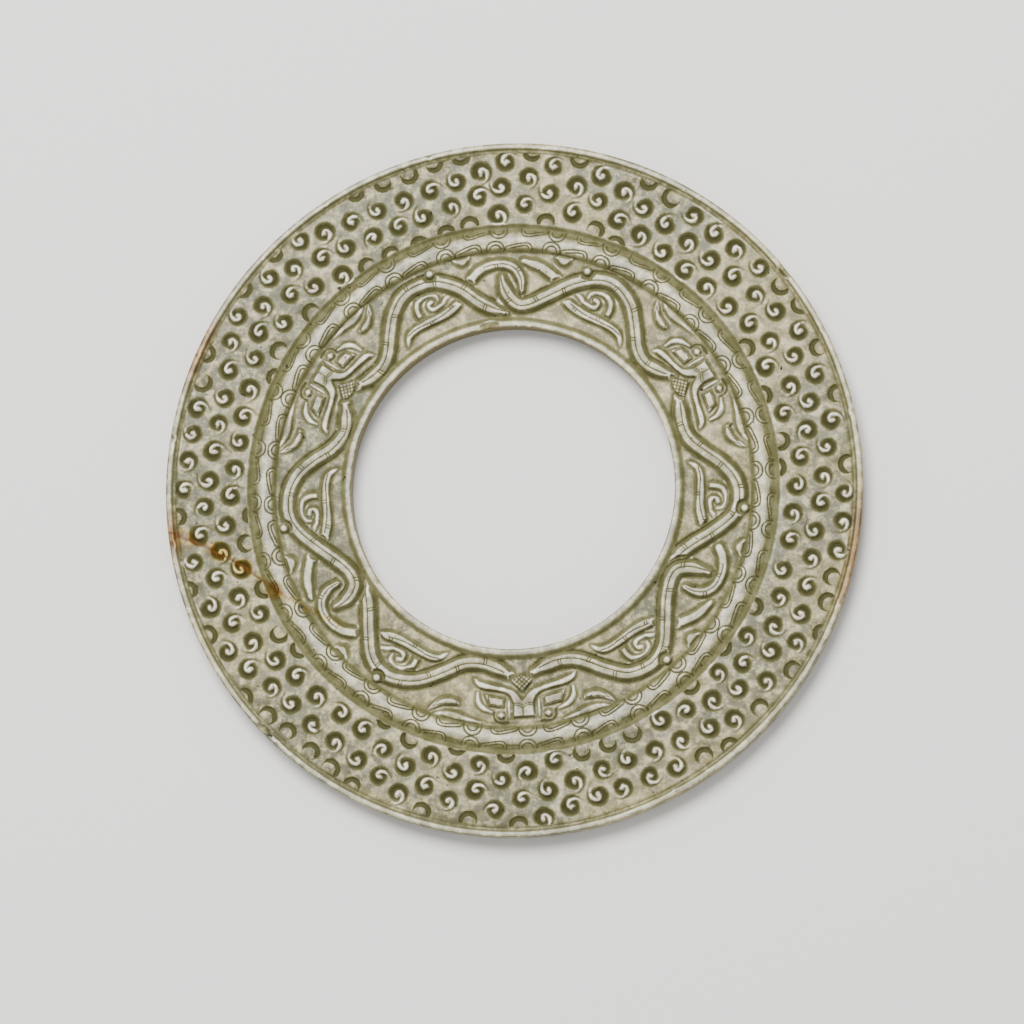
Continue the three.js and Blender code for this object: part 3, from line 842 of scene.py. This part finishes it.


# Where painted shade goes: sides and moats, without the thin ridges that stand in them and without the
# turned edges of the ring.
bridged = widened(widened(face_z, BRIDGE_STEPS, np.maximum), BRIDGE_STEPS, np.minimum)
worn_off = widened(widened(face_z, WORN_STEPS, np.minimum), WORN_STEPS, np.maximum)
recess = grown(bridged - face_z, *RECESS_DEPTH)
ridges = grown(face_z - worn_off, *RIDGE_HEIGHT)
steep = eased(grown(np.hypot(*slopes_of(face_z)), *SIDE_STEEPNESS))
moats = np.clip((MOAT_Z - face_z) / MOAT_SPAN, 0.0, 1.0) * (row_radius > MOULDING_RADIUS)[:, None]
on_edge = (row_radius < FACE_START) | (row_radius > FACE_END)
sides = np.maximum(np.maximum(steep, recess), moats) * (1.0 - ridges) * ~on_edge[:, None]
lines = grown(cut_depth, *LINE_DEPTH)
carved_grid = np.maximum(blurred(sides, 1), lines)

# Where painted highlight goes: crests, which stand above the face around them, high flats and thin ridges.
raised = grown(face_z - blurred(face_z, SURROUND_STEPS), *CREST_HEIGHT)
flats = HIGH_FLAT_HIGHLIGHT * eased(grown(face_z, HIGH_FLAT_Z, HIGH_FLAT_SPAN))
highlight_grid = np.maximum(np.maximum(raised, flats) * (1.0 - carved_grid), ridges)

# Darker painted shade in moats, grooves and lines, by their depth.
field_deep = (FIELD_Z - FIELD_DEEP[0] - face_z) / FIELD_DEEP[1]
band_deep = BAND_DEEP_SHARE * (SUNK_Z - BAND_DEEP[0] - face_z) / BAND_DEEP[1]
deep_shade_grid = np.where(np.hypot(face_x, face_y) > FIELD_START, field_deep, band_deep)
deep_shade_grid = np.maximum(np.clip(deep_shade_grid, 0.0, 1.0), LINE_DEEP_SHARE * lines)

face_z -= cut_depth
slope_outward, slope_around = slopes_of(face_z)


def sampled(grid, radius, angle):
    """The grid's value at places that lie between its rows and columns."""
    row = np.clip((radius - row_radius[0]) / (row_radius[1] - row_radius[0]), 0, face_rows - 1.001)
    column = (angle / (2 * math.pi) * COLUMNS) % COLUMNS
    row_low, column_low = row.astype(int), column.astype(int) % COLUMNS
    row_share, column_share = row - row_low, column - np.floor(column)
    column_high = (column_low + 1) % COLUMNS
    low = grid[row_low, column_low] * (1 - column_share) + grid[row_low, column_high] * column_share
    high_row = row_low + 1
    high = grid[high_row, column_low] * (1 - column_share) + grid[high_row, column_high] * column_share
    return low * (1 - row_share) + high * row_share


# ---- The disc: one closed ring of jade ----
# The carved face, the wall of the rim, the underside and the wall of the hole close into one solid ring,
# with its edges slightly rounded, as the stone was left after the last polish.

WALL_ROWS = 7
WALL_SWELL = 0.12
WALL_FOOT = 0.35
TRIANGLES = 194_000

# Carved places are lifted while the mesh is thinned, so that it keeps its points there, and are set back
# to their own height afterwards.
THINNING_LIFT = 0.4

# Above this height, and this far in from both edges, a point of the mesh belongs to the carved face.
FACE_ABOVE = 4.5
EDGE_MARGIN = 0.3

# The walls turn darker and more amber below this height, over this span, fully at the hole and a little at
# the rim, and the wall of the hole is a little olive besides.
WALL_DARKENS_Z = 6.35
WALL_DARKENS_SPAN = 0.5
RIM_WALL_DARKENING = 0.12
HOLE_WALL_OLIVE = 0.35

rings_radius = [np.broadcast_to(row_radius[:, None], face_z.shape)]
rings_z = [face_z + THINNING_LIFT * carved_grid]


def close_wall(radius, outward, start_z, end_z):
    """Rows down (or up) a wall, with a rounded edge at each end."""
    share = np.arange(1, WALL_ROWS + 1)[:, None] / (WALL_ROWS + 1)
    swell = WALL_SWELL * np.sin(math.pi * share)
    rings_z.append(np.broadcast_to(start_z + (end_z - start_z) * share, (WALL_ROWS, COLUMNS)))
    rings_radius.append(np.broadcast_to(radius + swell * outward, (WALL_ROWS, COLUMNS)))


close_wall(OUTER_RADIUS - WALL_SWELL, 1, face_z[-1][None, :], WALL_FOOT)
rings_radius.append(back_radius * np.ones((1, COLUMNS)))
rings_z.append(back_z)
close_wall(HOLE_RADIUS + WALL_SWELL, -1, np.full((1, COLUMNS), WALL_FOOT), face_z[0][None, :])

ring_radius = np.vstack(rings_radius)
ring_z = np.vstack(rings_z)
ring_x, ring_y = ring_radius * np.cos(column_angle), ring_radius * np.sin(column_angle)
dense = np.stack([ring_x, ring_y, ring_z], axis=-1)

ring_count = len(ring_radius)
row_index = np.arange(ring_count)[:, None]
column_index = np.arange(COLUMNS)[None, :]
next_row = (row_index + 1) % ring_count
next_column = (column_index + 1) % COLUMNS
corners = [
    row_index * COLUMNS + column_index,
    next_row * COLUMNS + column_index,
    next_row * COLUMNS + next_column,
    row_index * COLUMNS + next_column,
]
quads = np.stack(corners, axis=-1).reshape(-1, 4)


def flat(values):
    """Values in the form that a mesh takes them."""
    return values.astype(np.float32).ravel()


def mesh_of(name, points, faces):
    """A mesh from points and from faces that all have the same number of corners."""
    mesh = bpy.data.meshes.new(name)
    mesh.vertices.add(len(points))
    mesh.vertices.foreach_set("co", flat(points))
    mesh.loops.add(faces.size)
    mesh.loops.foreach_set("vertex_index", faces.astype(np.int32).ravel())
    mesh.polygons.add(len(faces))
    mesh.polygons.foreach_set("loop_start", np.arange(len(faces), dtype=np.int32) * faces.shape[1])
    mesh.update(calc_edges=True)
    mesh.validate()
    return mesh


dense_mesh = mesh_of("dense", dense.reshape(-1, 3) * MM, quads)
dense_disc = bpy.data.objects.new("dense", dense_mesh)
bpy.context.scene.collection.objects.link(dense_disc)
thinning = dense_disc.modifiers.new("thinning", "DECIMATE")
thinning.ratio = TRIANGLES / (2 * len(quads))
thinning.use_collapse_triangulate = True
evaluated = dense_disc.evaluated_get(bpy.context.evaluated_depsgraph_get())
carved_mesh = bpy.data.meshes.new_from_object(evaluated)
carved_mesh.name = "jade_bi_disc"
bpy.data.objects.remove(dense_disc)
disc = bpy.data.objects.new("jade_bi_disc", carved_mesh)
bpy.context.scene.collection.objects.link(disc)

count = len(carved_mesh.vertices)
points = np.empty(count * 3, np.float32)
carved_mesh.vertices.foreach_get("co", points)
points = points.reshape(-1, 3) / MM
point_radius = np.hypot(points[:, 0], points[:, 1])
point_angle = np.arctan2(points[:, 1], points[:, 0])
at_wall = (point_radius < HOLE_RADIUS + EDGE_MARGIN) | (point_radius > OUTER_RADIUS - EDGE_MARGIN)
inside_edges = (point_radius > HOLE_RADIUS + EDGE_MARGIN) & (point_radius < OUTER_RADIUS - EDGE_MARGIN)
on_face = (points[:, 2] > FACE_ABOVE) & inside_edges


def on_points(grid, elsewhere=0.0):
    """A grid's values at the points of the face, and another value elsewhere on the ring."""
    return np.where(on_face, sampled(grid, point_radius, point_angle), elsewhere)


def keep_mask(name, values):
    """Keep a mask with the mesh's points, where the jade's colours read it."""
    carved_mesh.attributes.new(name, "FLOAT", "POINT").data.foreach_set("value", flat(values))


points[:, 2] = on_points(face_z, points[:, 2])
carved_mesh.vertices.foreach_set("co", flat(points * MM))
carved_mesh.shade_smooth()
carved_mesh.update()

# The face's own slopes shade it, so that thinning leaves no facets in it.
normals = np.empty(count * 3, np.float32)
carved_mesh.vertices.foreach_get("normal", normals)
normals = normals.reshape(-1, 3)
outward = sampled(slope_outward, point_radius, point_angle)
around = sampled(slope_around, point_radius, point_angle)
fine = np.column_stack([
    -outward * np.cos(point_angle) + around * np.sin(point_angle),
    -outward * np.sin(point_angle) - around * np.cos(point_angle),
    np.ones(count),
])
fine /= np.linalg.norm(fine, axis=1)[:, None]
normals = np.where(on_face[:, None], fine, normals)
carved_mesh.normals_split_custom_set_from_vertices(normals.tolist())

# The masks that the colours read: carved is painted shade on what is cut, deep is darker painted shade in
# the moats, crest is painted highlight on crests and high flats, and walls darkens the walls below the
# face's edge.
below_edge = eased((WALL_DARKENS_Z - points[:, 2]) / WALL_DARKENS_SPAN)
at_hole = point_radius < MOULDING_RADIUS
keep_mask("carved", on_points(carved_grid, HOLE_WALL_OLIVE * below_edge * at_hole))
keep_mask("walls", np.where(at_wall, below_edge * np.where(at_hole, 1.0, RIM_WALL_DARKENING), 0.0))
keep_mask("deep", on_points(deep_shade_grid))
keep_mask("crest", on_points(highlight_grid))

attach(disc, "root")
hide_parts("bi_disc")


# ---- The jade: its colours, painted shade and highlight, stains and polish ----
# Nephrite is a pale grey-green stone. Burial clouded and mottled it and left dark specks, and iron from the
# soil soaked in along a crack and at the rim. What is cut into it is painted olive as painted shade, darkest
# in the moats, and its crests are painted pale as a painted highlight.

# Colours of the flats, from the stone itself to its cloudy, mottled and grainy places, the painted highlight
# on crests, and dark specks.
STONE = (0.235, 0.205, 0.08, 1)
DARK_STONE = (0.105, 0.104, 0.045, 1)
PALE_BLOOM = (0.68, 0.60, 0.335, 1)
GREY_MOTTLE = (0.08, 0.078, 0.047, 1)
DARK_GRAIN = (0.085, 0.075, 0.04, 1)
CREST_HIGHLIGHT = (0.95, 0.91, 0.73, 1)
SPECK = (0.03, 0.028, 0.015, 1)

# Painted shade on what is cut into the stone, from its sides to the bottoms of the moats, and the darker
# walls.
OLIVE = (0.10, 0.095, 0.038, 1)
PALE_OLIVE = (0.15, 0.143, 0.068, 1)
DEEP_SHADE_OLIVE = (0.04, 0.038, 0.011, 1)
DARK_WALL = (0.11, 0.085, 0.013, 1)

# How much of each colour shows at the most, and where it varies, at the least and at the most.
BLOOM_SHARE = 0.74
MOTTLE_SHARES = (0.4, 0.8)
GRAIN_SHARE = 0.35
CREST_HIGHLIGHT_SHARES = (0.62, 0.97)

# Each pattern's look, as millimetres from one spot to the next, detail and roughness, and then the values
# between which it grows from nothing to full.
CLOUDS = (22.0, 3.0, 0.55), (0.42, 0.66)
BLOOM = (3.2, 4.0, 0.7), (0.4, 0.64)
MOTTLE = (1.9, 4.0, 0.7), (0.4, 0.62)
GRAIN = (0.45, 3.0, 0.7), (0.3, 0.7)
SPECKS = (1.7, 2.0, 0.4), (0.735, 0.76)

# The left side is a little more clouded than the right, from one X to another.
LEFT_CLOUDED = (30.0, -80.0, 0.0, 0.12)

jade = bpy.data.materials.new("jade")
jade.use_nodes = True
tree = jade.node_tree
surface = tree.nodes["Principled BSDF"]


def plug(socket, value):
    """Give a socket a constant or the output of another node."""
    if isinstance(value, bpy.types.NodeSocket):
        tree.links.new(value, socket)
    else:
        socket.default_value = value


def worked(operation, first, second=0.0):
    """The result of one sum on two values."""
    node = tree.nodes.new("ShaderNodeMath")
    node.operation = operation
    plug(node.inputs[0], first)
    plug(node.inputs[1], second)
    return node.outputs[0]


def distance_of(x, y):
    """The length of a step of x and y."""
    squares = worked("MULTIPLY", x, x), worked("MULTIPLY", y, y)
    return worked("SQRT", worked("ADD", *squares))


def toward(direction, x, y):
    """How far a step of x and y goes in a direction."""
    return worked("ADD", worked("MULTIPLY", x, direction[0]), worked("MULTIPLY", y, direction[1]))


def share_between(value, low, high, to_low=0.0, to_high=1.0):
    """A value's way from low to high, eased at both ends and spread between two shares."""
    node = tree.nodes.new("ShaderNodeMapRange")
    node.interpolation_type = "SMOOTHSTEP"
    plug(node.inputs["Value"], value)
    plug(node.inputs["From Min"], low)
    plug(node.inputs["From Max"], high)
    plug(node.inputs["To Min"], to_low)
    plug(node.inputs["To Max"], to_high)
    return node.outputs["Result"]


def tinted(share, first, second, blend="MIX"):
    """The first colour, with a share of the second laid over it."""
    node = tree.nodes.new("ShaderNodeMix")
    node.data_type = "RGBA"
    node.blend_type = blend
    plug(node.inputs["Factor"], share)
    plug(node.inputs["A"], first)
    plug(node.inputs["B"], second)
    return node.outputs["Result"]


def stained(share, first, stain):
    """The first colour, with a share of a stain soaked into it."""
    return tinted(share, first, stain, "MULTIPLY")


def noise(spacing, detail, roughness):
    """A cloudy pattern through the stone."""
    node = tree.nodes.new("ShaderNodeTexNoise")
    plug(node.inputs["Vector"], place)
    plug(node.inputs["Scale"], 1.0 / spacing)
    plug(node.inputs["Detail"], detail)
    plug(node.inputs["Roughness"], roughness)
    return node.outputs["Fac"]


def pattern(look, span):
    """How much of a cloudy pattern there is at each place."""
    return share_between(noise(*look), *span)


def mask(name):
    """A mask that is kept with the mesh's points."""
    node = tree.nodes.new("ShaderNodeAttribute")
    node.attribute_name = name
    return node.outputs["Fac"]


# The place in the stone, in millimetres.
coordinates = tree.nodes.new("ShaderNodeTexCoord")
scaled = tree.nodes.new("ShaderNodeVectorMath")
scaled.operation = "SCALE"
plug(scaled.inputs[0], coordinates.outputs["Object"])
plug(scaled.inputs["Scale"], 1.0 / MM)
place = scaled.outputs[0]
split = tree.nodes.new("ShaderNodeSeparateXYZ")
plug(split.inputs[0], place)
x_mm, y_mm, _ = split.outputs
from_axis = distance_of(x_mm, y_mm)

carved = mask("carved")
crest_highlight = mask("crest")

cloud_look, cloud_span = CLOUDS
left_side = share_between(x_mm, *LEFT_CLOUDED)
clouds = share_between(worked("ADD", noise(*cloud_look), left_side), *cloud_span)
bloom = pattern(*BLOOM)
mottle = pattern(*MOTTLE)
grain = pattern(*GRAIN)
flat_colour = tinted(clouds, STONE, DARK_STONE)
flat_colour = tinted(worked("MULTIPLY", bloom, BLOOM_SHARE), flat_colour, PALE_BLOOM)
clouded_mottle = worked("MULTIPLY", mottle, share_between(clouds, 0.0, 1.0, *MOTTLE_SHARES))
flat_colour = tinted(clouded_mottle, flat_colour, GREY_MOTTLE)
flat_colour = tinted(worked("MULTIPLY", grain, GRAIN_SHARE), flat_colour, DARK_GRAIN)
# Crests and high flats are painted near white, patchy with the bloom: a painted highlight.
crest_highlight_patches = worked("MULTIPLY", crest_highlight, share_between(bloom, 0.0, 1.0, *CREST_HIGHLIGHT_SHARES))
flat_colour = tinted(crest_highlight_patches, flat_colour, CREST_HIGHLIGHT)
# What is cut is painted olive as painted shade, darkest in the moats.
olive = tinted(mask("deep"), tinted(bloom, OLIVE, PALE_OLIVE), DEEP_SHADE_OLIVE)
colour = tinted(carved, flat_colour, olive)
# The walls turn darker and more amber below the face's edge.
colour = tinted(mask("walls"), colour, DARK_WALL)

# The iron vein: a crack that wanders inward from the rim, with a ragged stain that narrows along it.
VEIN_START = (-82.0, -10.0)
VEIN_DIRECTION = (0.868, -0.498)
VEIN_ACROSS = (-VEIN_DIRECTION[1], VEIN_DIRECTION[0])
VEIN_WANDER = [(7.9, 1.1), (18.7, 1.6), (27.4, 0.9), (36.0, 0.4), (46.8, 0.9)]
VEIN_LENGTH = 51.0
VEIN_REACH = 2.0
VEIN_BEGINS = (-3.0, -0.5)
VEIN_FADES = (52.0, 42.0)
VEIN_STAIN = (0.90, 0.80, 0.50, 1)
RAGGED_LOOK = (3.0, 4.0, 0.65)
RAGGEDNESS = 2.2
STAIN_NARROWS = (6.0, 30.0)
STAIN_WIDTHS = (2.4, 1.2)
STAIN_EDGE = (1.0, 0.15)
CRACK = (0.10, 0.05, 0.016, 1)
CRACK_SHARE = 0.85
CRACK_EDGE = (0.55, 0.2)
CRACK_FADES = (44.0, 20.0)

from_start = worked("SUBTRACT", x_mm, VEIN_START[0]), worked("SUBTRACT", y_mm, VEIN_START[1])
vein_along = toward(VEIN_DIRECTION, *from_start)
vein_across = toward(VEIN_ACROSS, *from_start)
bend = tree.nodes.new("ShaderNodeFloatCurve")
curve = bend.mapping.curves[0]
curve.points[0].location = (0.0, 0.0)
curve.points[1].location = (1.0, 0.0)
for along, across in VEIN_WANDER:
    curve.points.new(along / VEIN_LENGTH, across / VEIN_REACH)
bend.mapping.update()
plug(bend.inputs["Value"], worked("DIVIDE", vein_along, VEIN_LENGTH))
ragged = worked("MULTIPLY", worked("SUBTRACT", noise(*RAGGED_LOOK), 0.5), RAGGEDNESS)
vein_across = worked("SUBTRACT", vein_across, worked("MULTIPLY", bend.outputs[0], VEIN_REACH))
vein_gap = worked("ABSOLUTE", worked("ADD", vein_across, ragged))
begun = share_between(vein_along, *VEIN_BEGINS)
within = worked("MULTIPLY", begun, share_between(vein_along, *VEIN_FADES))
stain_width = share_between(vein_along, *STAIN_NARROWS, *STAIN_WIDTHS)
stain = worked("MULTIPLY", share_between(worked("DIVIDE", vein_gap, stain_width), *STAIN_EDGE), within)
colour = stained(stain, colour, VEIN_STAIN)
open_part = worked("MULTIPLY", within, share_between(vein_along, *CRACK_FADES))
crack = worked("MULTIPLY", share_between(vein_gap, *CRACK_EDGE), open_part)
colour = tinted(worked("MULTIPLY", crack, CRACK_SHARE), colour, CRACK)

# Iron has soaked deepest into two grains beside the crack, one patch of the moulding, and the rim where
# the crack starts: the place, radius and colour of each.
SOAKED = [
    ((-70.5, -14.6), 3.0, (0.92, 0.74, 0.34, 1)),
    ((-64.3, -18.6), 2.9, (0.92, 0.74, 0.34, 1)),
    ((-56.6, -24.2), 2.6, (0.70, 0.52, 0.26, 1)),
    ((-78.5, -11.6), 3.4, (0.92, 0.76, 0.52, 1)),
]
SOAKED_OUTWARD = 0.4
SOAKED_INWARD = 1.2

for (middle_x, middle_y), reach, iron in SOAKED:
    away = distance_of(worked("SUBTRACT", x_mm, middle_x), worked("SUBTRACT", y_mm, middle_y))
    edge = (reach + SOAKED_OUTWARD, reach - SOAKED_INWARD)
    colour = stained(share_between(worked("ADD", away, ragged), *edge), colour, iron)

# Brown stains on the outer rim: the angle, half width in degrees and colour of each.
RIM_STAINS = [
    (-11.0, 14.0, (0.62, 0.42, 0.27, 1)),
    (156.0, 8.0, (0.70, 0.47, 0.32, 1)),
    (187.0, 6.0, (0.88, 0.62, 0.48, 1)),
]
RIM_STAIN_RADII = (79.6, 82.4)

for degrees, half_width, brown in RIM_STAINS:
    direction = [float(part) for part in polar_point(degrees, 1.0)]
    facing = worked("DIVIDE", toward(direction, x_mm, y_mm), from_axis)
    around = share_between(facing, math.cos(math.radians(half_width)), 1.0)
    outward = share_between(worked("ADD", from_axis, ragged), *RIM_STAIN_RADII)
    colour = stained(worked("MULTIPLY", around, outward), colour, brown)

colour = tinted(pattern(*SPECKS), colour, SPECK)

# Crests keep a low polish, and what is cut stays dull. The surface is very slightly pitted.
POLISH = (0.32, 0.46)
CUT_ROUGHNESS = 0.15
CUT_GLOSS = (1.0, 0.25)
CREST_GLOSS = (0.22, 0.5)
JADE_IOR = 1.62
PIT_STRENGTH = 0.25
PIT_DEPTH = 0.1 * MM

polish = share_between(grain, 0.0, 1.0, *POLISH)
roughness = worked("ADD", polish, worked("MULTIPLY", carved, CUT_ROUGHNESS))
dulled = share_between(carved, 0.0, 0.8, *CUT_GLOSS)
gloss = worked("MULTIPLY", dulled, share_between(crest_highlight, 0.0, 1.0, *CREST_GLOSS))
pits = tree.nodes.new("ShaderNodeBump")
plug(pits.inputs["Strength"], PIT_STRENGTH)
plug(pits.inputs["Distance"], PIT_DEPTH)
plug(pits.inputs["Height"], worked("ADD", grain, bloom))
plug(surface.inputs["Base Color"], colour)
plug(surface.inputs["Roughness"], roughness)
plug(surface.inputs["IOR"], JADE_IOR)
plug(surface.inputs["Specular IOR Level"], gloss)
plug(surface.inputs["Normal"], pits.outputs[0])
disc.data.materials.clear()
disc.data.materials.append(jade)


# ---- The floor ----
# The disc lies on its underside on a plain, pale, matt floor that runs out of sight on all sides. It is
# only a surface to lie on, and is no part of the disc.

FLOOR_REACH = 3.0
FLOOR_PALE = (0.8, 0.79, 0.77, 1)
FLOOR_ROUGHNESS = 0.9

floor_corners = np.array([[-1, -1, 0], [1, -1, 0], [1, 1, 0], [-1, 1, 0]]) * FLOOR_REACH
floor_mesh = mesh_of("floor", floor_corners, np.array([[0, 1, 2, 3]]))
floor = bpy.data.objects.new("floor", floor_mesh)
bpy.context.scene.collection.objects.link(floor)
floor_material = bpy.data.materials.new("floor")
floor_material.use_nodes = True
matt = floor_material.node_tree.nodes["Principled BSDF"]
matt.inputs["Base Color"].default_value = FLOOR_PALE
matt.inputs["Roughness"].default_value = FLOOR_ROUGHNESS
floor_mesh.materials.append(floor_material)


# ---- The light ----
# An even white surround, and one large round lamp above and beyond the disc, which lets the low carving
# show by its shading and lays a soft shadow toward the camera.

SURROUND_STRENGTH = 0.8
LAMP_SIZE = 0.9
LAMP_POWER = 46
LAMP_DISTANCE = 1.6
LAMP_LINE = Vector((-0.16, 0.42, 0.9))

scene = bpy.context.scene
world = bpy.data.worlds.new("studio")
scene.world = world
world.use_nodes = True
world.node_tree.nodes["Background"].inputs["Color"].default_value = (1, 1, 1, 1)
world.node_tree.nodes["Background"].inputs["Strength"].default_value = SURROUND_STRENGTH

lamp_data = bpy.data.lights.new("window", "AREA")
lamp_data.shape = "DISK"
lamp_data.size = LAMP_SIZE
lamp_data.energy = LAMP_POWER
lamp = bpy.data.objects.new("window", lamp_data)
lamp_line = LAMP_LINE.normalized()
lamp.location = lamp_line * LAMP_DISTANCE
lamp.rotation_euler = lamp_line.to_track_quat("Z", "Y").to_euler()
scene.collection.objects.link(lamp)


# ---- The camera ----
# It looks down on the face from almost straight above, a little from the front and the right, through a
# long lens, so the round disc stays nearly round.

CAMERA_LINE = Vector((0.09105, -0.13081, 0.98722))
CAMERA_DISTANCE = 1285.97
CAMERA_SHIFT_RIGHT = -0.057
CAMERA_SHIFT_UP = -5.93
CAMERA_LENS = 190.73
CAMERA_SENSOR = 36

back = CAMERA_LINE.normalized()
right = Vector((0, 1, 0)).cross(back).normalized()
up = back.cross(right)
camera_data = bpy.data.cameras.new("camera")
camera_data.lens = CAMERA_LENS
camera_data.sensor_width = CAMERA_SENSOR
camera = bpy.data.objects.new("camera", camera_data)
turned = Matrix((right, up, back)).transposed().to_4x4()
from_face = back * CAMERA_DISTANCE + right * CAMERA_SHIFT_RIGHT + up * CAMERA_SHIFT_UP
camera.matrix_world = Matrix.Translation((from_face + Vector((0, 0, THICKNESS))) * MM) @ turned
scene.collection.objects.link(camera)
scene.camera = camera
